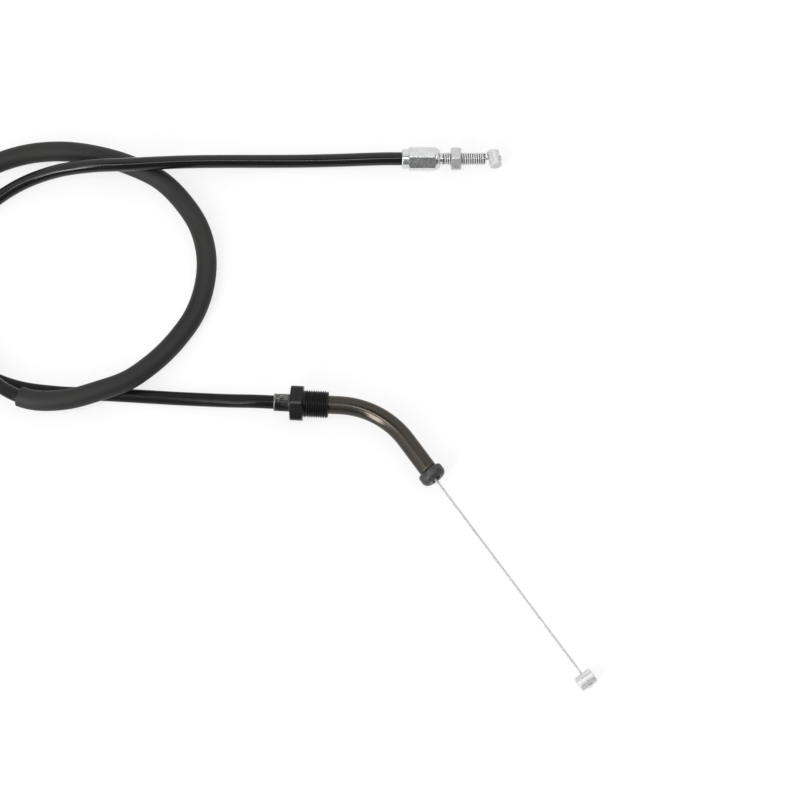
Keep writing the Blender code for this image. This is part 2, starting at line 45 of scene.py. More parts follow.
# The photograph's view: the spot that the camera faces, and how steeply it looks down on it
VIEW_ELEVATION = radians(72.0)
VIEW_TARGET = Vector((-14.0, 6.0, 0.0)) * MM
VIEW_DISTANCE = 1300.0 * MM
VIEW_WIDTH = 352.0 * MM
SENSOR_WIDTH = 36.0

# The casing from the wire outwards, as in the part
WIRE_RADIUS = 0.6 * MM
LINER_BORE = 0.9 * MM
CASING_RADIUS = 3.0 * MM
SLEEVE_RADIUS = 4.5 * MM
SLEEVE_BORE = 3.3 * MM
SLEEVE_START = 316.0 * MM
SLEEVE_LENGTH = 248.0 * MM
SEAT_RADIUS = 3.3 * MM

# Adjuster and its nut, with the chamfer and the inset that the union's hexagon has too
ADJUSTER_PLACE = Vector((-13.1, 118.3, 5.607)) * MM
ADJUSTER_FLATS = 10.0 * MM
ADJUSTER_CLOCKING = radians(16.2)
COLLAR_RADIUS = 4.45 * MM
COLLAR_LENGTH = 3.0 * MM
HEX_LENGTH = 12.3 * MM
CONE_LENGTH = 1.9 * MM
SHOULDER_RADIUS = 3.4 * MM
NECK_RADIUS = 2.5 * MM
NECK_LENGTH = 1.0 * MM
STUD_RADIUS = 2.9 * MM
STUD_CORE = 2.36 * MM
STUD_PITCH = 1.0 * MM
STUD_LENGTH = 19.4 * MM
STUD_START = COLLAR_LENGTH + HEX_LENGTH + CONE_LENGTH + NECK_LENGTH
ADJUSTER_LENGTH = STUD_START + STUD_LENGTH
CASING_SEAT = 14.2 * MM
NUT_THICKNESS = 4.7 * MM
NUT_CLOCKING = radians(10.0)
NUT_ALONG = 21.9 * MM
NUT_BORE = 3.2 * MM
NUT_CHAMFER = 0.75 * MM
NUT_RIM = 0.5 * MM
NUT_THREAD_DEPTH = 0.22 * MM
NUT_THREAD_INSET = 0.6 * MM
STUD_CHAMFER = 0.35 * MM
HEX_CHAMFER = 0.6 * MM
HEX_INSET = 0.1 * MM

# Guide pipe, its union and its cap
PIPE_PLACE = Vector((-69.1, 2.3, 8.325)) * MM
PIPE_HEADING = radians(-2.8)
PIPE_ROLL = radians(2.3)
PIPE_RADIUS = 4.0 * MM
PIPE_BORE = 3.0 * MM
PIPE_INLET = 28.8 * MM
BEND_RADIUS = 38.0 * MM
BEND_ANGLE = radians(51.3)
PIPE_OUTLET = 16.7 * MM
PIPE_LENGTH = PIPE_INLET + BEND_RADIUS * BEND_ANGLE + PIPE_OUTLET
OUTLET_REACH = 120.0 * MM
SWAGE_RADIUS = 3.85 * MM
SWAGE_LENGTH = 7.0 * MM
PIPE_SEAT = 11.0 * MM
UNION_FLATS = 15.0 * MM
UNION_CLOCKING = radians(14.0)
UNION_ALONG = 7.2 * MM
UNION_HEX = 5.7 * MM
UNION_RELIEF = 0.8 * MM
UNION_RELIEF_RADIUS = 5.7 * MM
UNION_CORE = 5.42 * MM
UNION_THREAD_RADIUS = 6.0 * MM
UNION_THREAD = 9.4 * MM
UNION_PITCH = 1.0 * MM
UNION_PILOT_RADIUS = 5.7 * MM
UNION_PILOT = 0.8 * MM
CAP_RADIUS = 5.7 * MM
CAP_LENGTH = 5.4 * MM
CAP_ROUNDING = 2.5 * MM
CAP_SPIGOT = 8.0 * MM
MOUTH_LEAN = radians(44.0)
GAP = 0.3 * MM

# Wire ends and nipples
GRIP_NIPPLE_RADIUS = 3.2 * MM
CARB_NIPPLE_RADIUS = 2.7 * MM
NIPPLE_LENGTH = 7.6 * MM
CARB_NIPPLE_REACH = 3.9 * MM
CARB_NIPPLE_ROLL = radians(2.0)
CARB_NIPPLE_SKEW = radians(-12.0)
CARB_WIRE_HIDDEN = 37.2 * MM
GRIP_WIRE_FREE = 108.0 * MM
GRIP_WIRE_HIDDEN = 3.0 * MM
GRIP_NIPPLE_ROLL = radians(-6.0)
SOLDER_RADIUS = 1.8 * MM
SOLDER_DEPTH = 1.1 * MM
SOLDER_DOME = 0.7 * MM
# Where a dark line of painted shade runs along each nipple's barrel, in shares of a turn, and its
# half width
SHADE_LINE_AT = 0.30
SHADE_LINE_REACH = 0.02
STRANDS = 11
STRAND_RADIUS = 0.13 * MM
STRAND_LAY = 9.0 * MM

# The casing's route between its two seats, in metres, as in the part
ROUTE = (
    (-0.0240, 0.1183, 0.00540),
    (-0.0400, 0.1183, 0.00400),
    (-0.0580, 0.1182, 0.00310),
    (-0.0750, 0.1178, 0.00380),
    (-0.0920, 0.1168, 0.00620),
    (-0.1090, 0.1152, 0.00950),
    (-0.1220, 0.1136, 0.01210),
    (-0.1360, 0.1125, 0.01290),
    (-0.1520, 0.1121, 0.01210),
    (-0.1690, 0.1106, 0.00880),
    (-0.1850, 0.1056, 0.00520),
    (-0.1990, 0.0960, 0.00340),
    (-0.2100, 0.0830, 0.00305),
    (-0.2155, 0.0680, 0.00310),
    (-0.2145, 0.0520, 0.00450),
    (-0.2085, 0.0360, 0.00730),
    (-0.2000, 0.0215, 0.00960),
    (-0.1895, 0.0095, 0.01020),
    (-0.1760, 0.0030, 0.01050),
    (-0.1605, 0.0026, 0.01090),
    (-0.1450, 0.0068, 0.01110),
    (-0.1334, 0.0115, 0.01040),
    (-0.1238, 0.0192, 0.00830),
    (-0.1117, 0.0333, 0.00540),
    (-0.1049, 0.0445, 0.00460),
    (-0.1009, 0.0575, 0.00455),
    (-0.1002, 0.0715, 0.00455),
    (-0.1037, 0.0855, 0.00455),
    (-0.1112, 0.0977, 0.00455),
    (-0.1218, 0.1085, 0.00455),
    (-0.1336, 0.1148, 0.00455),
    (-0.1491, 0.1199, 0.00455),
    (-0.1660, 0.1223, 0.00455),
    (-0.1850, 0.1202, 0.00455),
    (-0.2020, 0.1128, 0.00460),
    (-0.2150, 0.1005, 0.00400),
    (-0.2230, 0.0845, 0.00305),
    (-0.2255, 0.0670, 0.00305),
    (-0.2225, 0.0490, 0.00305),
    (-0.2140, 0.0325, 0.00305),
    (-0.2010, 0.0195, 0.00305),
    (-0.1840, 0.0115, 0.00305),
    (-0.1650, 0.0084, 0.00305),
    (-0.1458, 0.0077, 0.00305),
    (-0.1282, 0.0067, 0.00305),
    (-0.1123, 0.0057, 0.00310),
    (-0.1000, 0.0048, 0.00400),
    (-0.0880, 0.0037, 0.00590),
)

# How far the casing leaves either fitting straight, before the route begins
CORD_LEAD = 7.0 * MM
CORD_TAIL = 8.0 * MM

# How many flat sides round pieces have, and how fine the steps on a chamfer are
HEX_STEPS = 144
TUBE_STEPS = 64
BARREL_STEPS = 56
SLOT_STEPS = 40
THREAD_STEPS = 40
SOLDER_STEPS = 32
CORD_STEPS = 28
HEART_STEPS = 12
STRAND_STEPS = 6
CHAMFER_STEP = 0.08 * MM
SHARP_ANGLE = radians(30.0)

# Where a hexagon's corner begins to be marked as one, in shares of its reach, and how fast
EDGE_FROM = 0.955
EDGE_RISE = 0.025

# The ridge of a thread: its corners, out from the core in depths and across in pitches, its size
# at its very ends, and how many times full size it would gain in a turn there
RIDGE_CORNERS = ((-0.25, -0.47), (1.0, -0.12), (1.0, 0.12), (-0.25, 0.47))
RIDGE_END = 0.03
RIDGE_GROWTH = 2.0

# Where the looks change, from the first distance to the second: along the casing, and in the
# frame's X over the pipe's bend
POLISH_ENDS = (290.0 * MM, 330.0 * MM)
MATT_BEGINS = (640.0 * MM, 680.0 * MM)
BEND_BEGINS = (-40.0 * MM, -30.0 * MM)
BEND_PASSED = (-20.0 * MM, -8.0 * MM)

# The studio: each lamp's place, its size and its brightness as seen, then the world and floor
LAMPS = {
    "overhead_strip": ((0.05, -0.18, 1.30), (1.7, 0.14), 8.0),
    "back_softbox": ((0.30, 1.72, 1.39), (4.2, 3.5), 0.92),
    "left_softbox": ((-1.47, -0.47, 1.29), (2.0, 2.9), 0.88),
    "right_softbox": ((1.60, 0.10, 0.90), (1.2, 1.2), 0.8),
    "front_strip": ((-0.721, -0.899, 0.61), (0.26, 1.16), 11.0),
}
WORLD_LEVEL = 0.12
FLOOR_GLOW = 0.74
FLOOR_RADIUS = 12.0
FLOOR_DROP = 0.05 * MM


class Axis:
    """A line that pieces are turned on or swept along, with a frame at each distance on it."""

    def __init__(self, points):
        self.points = points
        self.ends = [0.0]
        for a, b in zip(points, points[1:]):
            self.ends.append(self.ends[-1] + (b - a).length)
        self.length = self.ends[-1]

    def point(self, distance):
        """The point at a distance, carried on straight past either end."""
        span = 0
        low, high = 0, len(self.ends) - 2
        while low <= high:
            span = (low + high) // 2
            if self.ends[span + 1] < distance:
                low = span + 1
            elif self.ends[span] > distance:
                high = span - 1
            else:
                break
        share = (distance - self.ends[span]) / (self.ends[span + 1] - self.ends[span])
        a, b = self.points[span], self.points[span + 1]
        return a + (b - a) * share

    def frame(self, distance, reach=0.4 * MM):
        """Z along the line, Y as near to up as it can be, and X to the side."""
        along = (self.point(distance + reach) - self.point(distance - reach)).normalized()
        side = Vector((0.0, 0.0, 1.0)).cross(along).normalized()
        up = along.cross(side)
        placed = Matrix((-side, up, along)).transposed().to_4x4()
        placed.translation = self.point(distance)
        return placed


def straight_axis(place, direction, length):
    return Axis([place, place + Vector(direction).normalized() * length])


def smooth_line(points, per_span=24):
    """A smooth curve through the points, in the form that the part gives the casing."""
    spans = [(b - a).length for a, b in zip(points, points[1:])]
    slopes = [(points[1] - points[0]) / spans[0]]
    for i in range(1, len(points) - 1):
        before, after = spans[i - 1], spans[i]
        arriving = (points[i] - points[i - 1]) / before
        leaving = (points[i + 1] - points[i]) / after
        slopes.append((arriving * after + leaving * before) / (before + after))
    slopes.append((points[-1] - points[-2]) / spans[-1])
    line = []
    for i, span in enumerate(spans):
        for k in range(per_span):
            t = k / per_span
            line.append(
                points[i] * (2 * t**3 - 3 * t**2 + 1)
                + slopes[i] * span * (t**3 - 2 * t**2 + t)
                + points[i + 1] * (3 * t**2 - 2 * t**3)
                + slopes[i + 1] * span * (t**3 - t**2)
            )
    return line + [points[-1]]


PIPE_PLANE = (
    Matrix.Translation(PIPE_PLACE)
    @ Matrix.Rotation(PIPE_HEADING, 4, "Z")
    @ Matrix.Rotation(PIPE_ROLL, 4, "X")
)


def pipe_point(along):
    """The guide pipe's centreline at a distance from its inlet end."""
    if along <= PIPE_INLET:
        return PIPE_PLANE @ Vector((along, 0.0, 0.0))
    turned = min((along - PIPE_INLET) / BEND_RADIUS, BEND_ANGLE)
    bend = Vector((PIPE_INLET + BEND_RADIUS * sin(turned), BEND_RADIUS * (cos(turned) - 1), 0.0))
    beyond = max(0.0, along - PIPE_INLET - BEND_RADIUS * BEND_ANGLE)
    return PIPE_PLANE @ (bend + beyond * Vector((cos(BEND_ANGLE), -sin(BEND_ANGLE), 0.0)))


def steps_between(start, end, step):
    """Distances from start to end, about one step apart."""
    count = max(1, round(abs(end - start) / step))
    return [start + (end - start) * k / count for k in range(count + 1)]


stud_axis = straight_axis(ADJUSTER_PLACE, (1, 0, 0), ADJUSTER_LENGTH)
pipe_axis = Axis([pipe_point(s) for s in steps_between(0.0, PIPE_LENGTH, 0.5 * MM)])
pipe_mouth = pipe_point(PIPE_LENGTH)
outlet = pipe_mouth - pipe_point(PIPE_LENGTH - 5 * MM)
outlet_axis = straight_axis(pipe_mouth, outlet, OUTLET_REACH)


def casing_axis():
    """The casing's centreline, from its seat in the adjuster to its seat in the pipe."""
    leads = [CASING_SEAT - GAP, CASING_SEAT - CORD_LEAD, 0.0, -CORD_LEAD]
    tails = [-CORD_TAIL, 0.0, PIPE_SEAT - GAP]
    points = [stud_axis.point(along) for along in leads]
    points += [Vector(point) for point in ROUTE]
    points += [pipe_axis.point(along) for along in tails]
    return Axis(smooth_line(points))


def arc(centre_along, centre_radius, radius, start, end, count=5):
    """Points of an arc in an outline, from one angle to another in degrees."""
    angles = [radians(start + (end - start) * k / count) for k in range(count + 1)]
    return [(centre_along + radius * sin(a), centre_radius + radius * cos(a)) for a in angles]


def stretch(a, b):
    return sqrt((a[0] - b[0]) ** 2 + (a[1] - b[1]) ** 2)


def refined(outline):
    """An outline with points added, so that its stretches are about one step of a chamfer."""
    found = [outline[0]]
    for a, b in zip(outline, outline[1:]):
        count = max(1, round(stretch(a, b) / CHAMFER_STEP))
        for k in range(1, count + 1):
            found.append(tuple(a[i] + (b[i] - a[i]) * k / count for i in range(2)))
    return found


def hexagon_reach(angle, flats, clocking, broken=0.12 * MM):
    """How far a hexagon bar reaches from its axis at an angle, its corners slightly broken."""
    off = (angle - clocking) % (pi / 3) - pi / 6
    return min(flats / 2 / cos(off), flats / sqrt(3) - broken)


def swept(name, axis, outline, steps, hexagon=None, core=None, closed=False):
    """A mesh turned or swept round an axis. The outline is a list of (distance along, radius),
    closed on itself, or from one point on the axis to another. hexagon is the size across flats
    and the clocking of the bar that the piece was turned from, and core is the radius under its
    thread. UV map: run holds the distance along the outline and the share of a turn.
    Attributes: edge is 1 on a corner of the bar, flat on its sides, root_shade on the core,
    where the roots of a thread are painted dark as painted shade."""
    shell = bmesh.new()
    edge = shell.verts.layers.float.new("edge")
    flat = shell.verts.layers.float.new("flat")
    root_shade = shell.verts.layers.float.new("root_shade")
    run = shell.loops.layers.uv.new("run")
    angles = [tau * k / steps for k in range(steps)]
    rings = []
    travel = [0.0]
    for a, b in zip(outline, outline[1:]):
        travel.append(travel[-1] + stretch(a, b))
    for along, radius in outline:
        place = axis.frame(along)
        if radius == 0.0:
            rings.append([shell.verts.new(place.translation)] * steps)
            continue
        ring = []
        for angle in angles:
            reach = radius
            if hexagon:
                reach = min(radius, hexagon_reach(angle, *hexagon))
            spot = Vector((reach * cos(angle), reach * sin(angle), 0.0))
            vert = shell.verts.new(place @ spot)
            if hexagon:
                corner = hexagon[0] / sqrt(3)
                vert[edge] = min(1.0, max(0.0, (reach / corner - EDGE_FROM) / EDGE_RISE))
                vert[flat] = float(reach < radius)
                # Marks the core under a thread, whose roots get painted shade
                vert[root_shade] = float(radius == core)
            ring.append(vert)
        rings.append(ring)
    pairs = list(zip(range(len(rings)), range(1, len(rings))))
    if closed:
        pairs.append((len(rings) - 1, 0))
        travel.append(travel[-1] + 1 * MM)
    for count, (low, high) in enumerate(pairs):
        for k in range(steps):
            after = (k + 1) % steps
            corners = [
                (rings[low][k], travel[count], k),
                (rings[low][after], travel[count], k + 1),
                (rings[high][after], travel[count + 1], k + 1),
                (rings[high][k], travel[count + 1], k),
            ]
            kept = []
            for corner in corners:
                if all(corner[0] is not other[0] for other in kept):
                    kept.append(corner)
            if len(kept) < 3:
                continue
            face = shell.faces.new([vert for vert, _, _ in kept])
            face.smooth = True
            for loop, (_, u, v) in zip(face.loops, kept):
                loop[run].uv = (u, v / steps)
    bmesh.ops.recalc_face_normals(shell, faces=shell.faces)
    mesh = bpy.data.meshes.new(name)
    shell.to_mesh(mesh)
    shell.free()
    mesh.set_sharp_from_angle(angle=SHARP_ANGLE)
    return mesh


def show(mesh, finish, body, replaces):
    """Puts a finished mesh in the scene, on the body it rides and in the place of its nodes."""
    made = bpy.data.objects.new(mesh.name, mesh)
    mesh.materials.clear()
    mesh.materials.append(finish)
    bpy.context.scene.collection.objects.link(made)
    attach(made, body)
    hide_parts(*replaces)
    return made


def joined(name, meshes):
    """One mesh of several, with their attributes kept."""
    shell = bmesh.new()
    for mesh in meshes:
        shell.from_mesh(mesh)
    bmesh.ops.recalc_face_normals(shell, faces=shell.faces)
    made = bpy.data.meshes.new(name)
    shell.to_mesh(made)
    shell.free()
    return made


def cut(mesh, tool):
    """The mesh with a closed tool mesh taken out of it."""
    solid = bpy.data.objects.new(mesh.name, mesh)
    drill = bpy.data.objects.new(tool.name, tool)
    for helper in (solid, drill):
        bpy.context.scene.collection.objects.link(helper)
    taking = solid.modifiers.new("drill", "BOOLEAN")
    taking.operation = "DIFFERENCE"
    taking.solver = "EXACT"
    taking.object = drill
    bpy.context.view_layer.update()
    graph = bpy.context.evaluated_depsgraph_get()
    made = bpy.data.meshes.new_from_object(solid.evaluated_get(graph))
    made.name = mesh.name + "_cut"
    for helper in (solid, drill):
        bpy.data.objects.remove(helper)
    made.set_sharp_from_angle(angle=SHARP_ANGLE)
    return made


class Value:
    """The output of a node. Sums and products of it add Math nodes to its tree."""

    def __init__(self, nodes, socket):
        self.nodes = nodes
        self.socket = socket

    def __add__(self, other):
        return self.nodes.math("ADD", self, other)

    def __mul__(self, other):
        return self.nodes.math("MULTIPLY", self, other)

    def __sub__(self, other):
        return self.nodes.math("SUBTRACT", self, other)

    def __rsub__(self, other):
        return self.nodes.math("SUBTRACT", other, self)

    def __truediv__(self, other):
        return self.nodes.math("DIVIDE", self, other)

    __radd__ = __add__
    __rmul__ = __mul__

    def part_of(self, low, high):
        """0 below low, 1 above high, and a straight rise between them."""
        sockets = {"Value": self, "From Min": low, "From Max": high}
        return self.nodes.node("ShaderNodeMapRange", {"clamp": True}, sockets)


class Nodes:
    """A node tree that is being built."""

    def __init__(self, tree):
        self.tree = tree

    def node(self, kind, settings=(), sockets=(), out=0):
        """Adds a node: its settings first, then the values or links of its sockets."""
        made = self.tree.nodes.new(kind)
        for name, value in dict(settings).items():
            setattr(made, name, value)
        for name, value in dict(sockets).items():
            self.feed(made.inputs[name], value)
        return Value(self, made.outputs[out] if made.outputs else None)

    def feed(self, socket, value):
        if isinstance(value, Value):
            self.tree.links.new(value.socket, socket)
        else:
            socket.default_value = value

    def math(self, operation, a, b):
        return self.node("ShaderNodeMath", {"operation": operation}, {0: a, 1: b})


class Finish(Nodes):
    """A material with a Principled shader, its fixed values set on the shader's own sockets."""

    def __init__(self, name, **fixed):
        self.material = bpy.data.materials.new(name)
        self.material.use_nodes = True
        super().__init__(self.material.node_tree)
        self.shader = self.tree.nodes["Principled BSDF"]
        for name, value in fixed.items():
            self.shader.inputs[name.replace("_", " ")].default_value = value

    def paint(self, socket, value):
        self.feed(self.shader.inputs[socket], value)

    def place(self, scale=(1.0, 1.0, 1.0)):
        """The piece's own coordinates in metres, stretched."""
        spot = self.node("ShaderNodeTexCoord", out="Object")
        return self.node("ShaderNodeMapping", {}, {"Vector": spot, "Scale": scale})

    def run(self, scale=(1.0, 1.0, 1.0)):
        """Distance along the outline and share of a turn, stretched."""
        spot = self.node("ShaderNodeUVMap", {"uv_map": "run"})
        return self.node("ShaderNodeMapping", {}, {"Vector": spot, "Scale": scale})

    def coordinate(self, where, axis):
        return self.node("ShaderNodeSeparateXYZ", {}, {"Vector": where}, out=axis)

    def noise(self, where, scale, detail=4.0, roughness=0.55):
        sockets = {"Vector": where, "Scale": scale, "Detail": detail, "Roughness": roughness}
        return self.node("ShaderNodeTexNoise", {}, sockets)

    def blend(self, share, a, b):
        """Two colours mixed by a share."""
        return self.node("ShaderNodeMix", {"data_type": "RGBA"}, {0: share, 6: a, 7: b}, out=2)

    def relief(self, height, strength, distance, under=None):
        sockets = {"Height": height, "Strength": strength, "Distance": distance}
        if under:
            sockets["Normal"] = under
        return self.node("ShaderNodeBump", {}, sockets)

    def marked(self, name):
        """The share that a mesh attribute holds."""
        return self.node("ShaderNodeAttribute", {"attribute_name": name}, out="Fac")


def shade(level, tint=(1.0, 1.0, 1.0)):
    return (level * tint[0], level * tint[1], level * tint[2], 1.0)


def make_vinyl():
    """Black vinyl: a slow waviness from the conduit under it, fine dull scuffs, a polished
    length towards the adjuster and a matt one towards the pipe."""
    vinyl = Finish("casing_vinyl", Specular_IOR_Level=0.13, Coat_Roughness=0.05, Coat_IOR=1.5)
    spot = vinyl.place()
    along = vinyl.run((600.0, 5.0, 1.0))
    scuffs = vinyl.noise(vinyl.run((260.0, 40.0, 1.0)), 1.0, 5.0).part_of(0.58, 0.74)
    haze = vinyl.noise(spot, 90.0)
    walked = vinyl.coordinate(vinyl.run(), "X")
    matt = walked.part_of(*MATT_BEGINS)
    polished = 1.0 - walked.part_of(*POLISH_ENDS)
    vinyl.paint("Coat Weight", polished * 0.45)
    vinyl.paint("Base Color", vinyl.blend(haze, shade(0.006), shade(0.012, (1.0, 1.02, 1.05))))
    vinyl.paint("Roughness", 0.13 + haze * 0.05 + scuffs * 0.06 + matt * 0.10)
    waves = vinyl.relief(vinyl.noise(along, 1.0, 2.0), 0.05, 0.02 * MM)
    vinyl.paint("Normal", vinyl.relief(vinyl.noise(spot, 2600.0), 0.08, 0.02 * MM, waves))
    return vinyl.material


def make_sleeve_rubber():
    """Satin charcoal rubber with a fine grain, and faint lengthwise streaks from moulding."""
    rubber = Finish("sleeve_rubber", Specular_IOR_Level=0.38)
    spot = rubber.place()
    streaks = rubber.noise(rubber.run((30.0, 34.0, 1.0)), 1.0, 5.0)
    cloud = rubber.noise(spot, 24.0, 3.0)
    dust = rubber.noise(spot, 1500.0, 3.0).part_of(0.62, 0.75)
    ground = rubber.blend(cloud.part_of(0.35, 0.68), shade(0.010), shade(0.017, (1.04, 1.0, 0.94)))
    streaked = rubber.blend(streaks.part_of(0.45, 0.8) * 0.4, ground, shade(0.028))
    rubber.paint("Base Color", rubber.blend(dust * 0.25, streaked, shade(0.06)))
    rubber.paint("Roughness", 0.46 + cloud * 0.14 + streaks * 0.08)
    grain = rubber.relief(rubber.noise(spot, 3200.0, 3.0), 0.25, 0.03 * MM)
    rubber.paint("Normal", rubber.relief(streaks, 0.15, 0.08 * MM, grain))
    return rubber.material


def make_zinc(name, drawn, metal, level):
    """Bright zinc plate: a soft bloom, lines from drawing or turning, a mottled skin with duller
    specks on the bar's flat sides, and threads with tips painted pale as a painted highlight and
    roots painted dark as painted shade. drawn is the stretch of the lines, metal how metallic the
    plate is, and level how pale."""
    zinc = Finish(name)
    spot = zinc.place()
    flat = zinc.marked("flat")
    lines = zinc.noise(zinc.place(drawn), 1.0, 3.0)
    bloom = zinc.noise(spot, 420.0, 5.0)
    mottle = zinc.noise(spot, 900.0, 4.0, 0.6)
    specks = zinc.noise(spot, 2400.0, 2.0).part_of(0.6, 0.75) * flat
    hue = (0.97, 1.0, 0.99)
    bright = zinc.blend(bloom.part_of(0.3, 0.7), shade(0.85 * level, hue), shade(level))
    dull = zinc.blend(specks * 0.3, bright, shade(0.42, (0.97, 1.0, 1.01)))
    edged = zinc.blend(zinc.marked("edge") * 0.6, dull, shade(0.88))
    # Thread tips are painted pale and made less metallic, a painted highlight; thread roots are
    # painted dark, painted shade
    crest_highlight = zinc.marked("crest_highlight").part_of(0.3, 0.7)
    rooted = zinc.blend(zinc.marked("root_shade").part_of(0.3, 0.7) * 0.85, edged, shade(0.12))
    zinc.paint("Base Color", zinc.blend(crest_highlight * 0.8, rooted, shade(0.90)))
    zinc.paint("Metallic", metal - crest_highlight * 0.6 * metal)
    zinc.paint("Roughness", 0.21 + bloom * 0.12 + specks * 0.10)
    fine = zinc.relief(lines, 0.2, 0.02 * MM)
    zinc.paint("Normal", zinc.relief(mottle * flat, 0.5, 0.18 * MM, fine))
    return zinc.material


def make_black_nickel():
    """Dark bronze-black plate on the pipe: glossy and cloudy in tint, with blacker plate, light
    scuffs and a bare rim where the socket was rolled in on the casing."""
    nickel = Finish("nickel_plate", Metallic=0.85, Specular_IOR_Level=0.4)
    spot = nickel.place()
    cloud = nickel.noise(spot, 110.0, 3.0)
    specks = nickel.noise(spot, 1900.0, 3.0).part_of(0.64, 0.76)
    brown = nickel.blend(cloud, shade(0.040, (1.18, 1.0, 0.80)), shade(0.064, (1.14, 1.0, 0.84)))
    scuffs = nickel.noise(nickel.run((500.0, 170.0, 1.0)), 1.0, 5.0, 0.65).part_of(0.47, 0.62)
    walked = nickel.coordinate(spot, "X")
    across = nickel.coordinate(spot, "Y")
    far_side = across.part_of(PIPE_PLACE.y - 1.5 * MM, PIPE_PLACE.y + 1 * MM)
    rim = 1.0 - walked.part_of(PIPE_PLACE.x + 0.3 * MM, PIPE_PLACE.x + 0.7 * MM)
    rubbed = scuffs * far_side * 0.9 + rim * 0.3
    rolled = nickel.blend(rubbed, shade(0.012), shade(0.55, (1.02, 1.0, 0.97)))
    past_socket = walked.part_of(PIPE_PLACE.x + SWAGE_LENGTH - 1 * MM, PIPE_PLACE.x + SWAGE_LENGTH)
    into_bend = walked.part_of(*BEND_BEGINS)
    past_bend = walked.part_of(*BEND_PASSED)
    plated = nickel.blend(past_socket, rolled, brown)
    nickel.paint("Base Color", nickel.blend(specks * 0.3, plated, shade(0.16)))
    dull = (1.0 - past_socket) * 0.04 + (1.0 - into_bend) * 0.17 + past_bend * 0.15
    nickel.paint("Roughness", 0.14 + cloud * 0.05 + specks * 0.12 + dull)
    nickel.paint("Normal", nickel.relief(nickel.noise(spot, 700.0), 0.04, 0.02 * MM))
    return nickel.material


def make_black_oxide():
    """Blackened turned steel: satin, with turning lines, bare metal on the corners, and thread
    roots painted near black as painted shade.
    """
    oxide = Finish("oxide_skin", Metallic=0.6, Specular_IOR_Level=0.4)
    spot = oxide.place()
    lines = oxide.noise(oxide.place((2600.0, 60.0, 60.0)), 1.0, 3.0)
    cloud = oxide.noise(spot, 500.0, 5.0)
    worn = oxide.marked("edge") * (0.3 + oxide.noise(spot, 500.0, 3.0) * 0.5)
    ground = oxide.blend(cloud, shade(0.008), shade(0.024, (1.04, 1.0, 0.98)))
    edged = oxide.blend(worn, ground, shade(0.13))
    # Thread roots painted near black: painted shade
    oxide.paint("Base Color", oxide.blend(oxide.marked("root_shade") * 0.8, edged, shade(0.002)))
    oxide.paint("Roughness", 0.26 + cloud * 0.18)
    fine = oxide.relief(lines, 0.3, 0.03 * MM)
    oxide.paint("Normal", oxide.relief(cloud, 0.25, 0.05 * MM, fine))
    return oxide.material


def make_cap_plastic():
    """Dark grey moulded plastic, satin and uneven, with a fine spark-eroded grain."""
    plastic = Finish("cap_moulding", Specular_IOR_Level=0.45)
    spot = plastic.place()
    cloud = plastic.noise(spot, 420.0, 4.0).part_of(0.35, 0.65)
    skin = plastic.blend(cloud, shade(0.014), shade(0.055, (1.02, 1.0, 0.98)))
    plastic.paint("Base Color", skin)
    plastic.paint("Roughness", 0.32 + cloud * 0.2)
    lumps = plastic.relief(plastic.noise(spot, 650.0, 2.0), 0.6, 0.4 * MM)
    plastic.paint("Normal", plastic.relief(plastic.noise(spot, 2800.0), 0.3, 0.05 * MM, lumps))
    return plastic.material


def make_wire_steel():
    """Bright drawn steel strands, slightly oiled in places."""
    steel = Finish("drawn_strand", Metallic=0.7)
    spot = steel.place()
    oil = steel.noise(spot, 600.0, 3.0)
    steel.paint("Base Color", steel.blend(oil, shade(0.56, (1.0, 0.99, 0.97)), shade(0.72)))
    steel.paint("Roughness", 0.42 + oil * 0.16)
    return steel.material


def make_cast_metal():
    """Pale die-cast metal: a sandy, cloudy skin with small pits, and a dark line of painted shade
    along each barrel, pressed in slightly.
    """
    cast = Finish("cast_metal", Metallic=0.45)
    spot = cast.place()
    sand = cast.noise(spot, 1800.0, 5.0, 0.6)
    cloud = cast.noise(spot, 350.0, 3.0)
    pits = cast.noise(spot, 1100.0, 2.0).part_of(0.3, 0.4)
    # A dark line painted along each barrel at one place in its turn: painted shade, also pressed
    # in slightly
    off_shade_line = cast.math("ABSOLUTE", cast.coordinate(cast.run(), "Y") - SHADE_LINE_AT, 0.0)
    shade_line = 1.0 - off_shade_line.part_of(0.0, SHADE_LINE_REACH)
    skin = cast.blend(cloud, shade(0.65, (1.0, 0.99, 0.98)), shade(0.82))
    pitted = cast.blend(pits, shade(0.45), skin)
    cast.paint("Base Color", cast.blend(shade_line * cloud.part_of(0.35, 0.6), pitted, shade(0.34)))
    cast.paint("Roughness", 0.40 + sand * 0.24)
    deep = cast.relief(pits - shade_line, 0.35, 0.08 * MM)
    cast.paint("Normal", cast.relief(sand, 0.3, 0.05 * MM, deep))
    return cast.material


def make_solder():
    """Bright solder, smooth and slightly rippled."""
    solder = Finish("solder_bead", Metallic=1.0)
    spot = solder.place()
    flow = solder.noise(spot, 700.0, 2.0)
    solder.paint("Base Color", solder.blend(flow, shade(0.6), shade(0.85, (0.98, 1.0, 1.02))))
    solder.paint("Roughness", 0.18 + flow * 0.2)
    solder.paint("Normal", solder.relief(flow, 0.4, 0.12 * MM))
    return solder.material


def make_liner_plastic():
    liner = Finish("liner_tube", Subsurface_Weight=0.05)
    cloud = liner.noise(liner.place(), 300.0)
    liner.paint("Base Color", liner.blend(cloud, shade(0.74, (1.0, 0.99, 0.95)), shade(0.85)))
    liner.paint("Roughness", 0.35 + cloud * 0.15)
    return liner.material


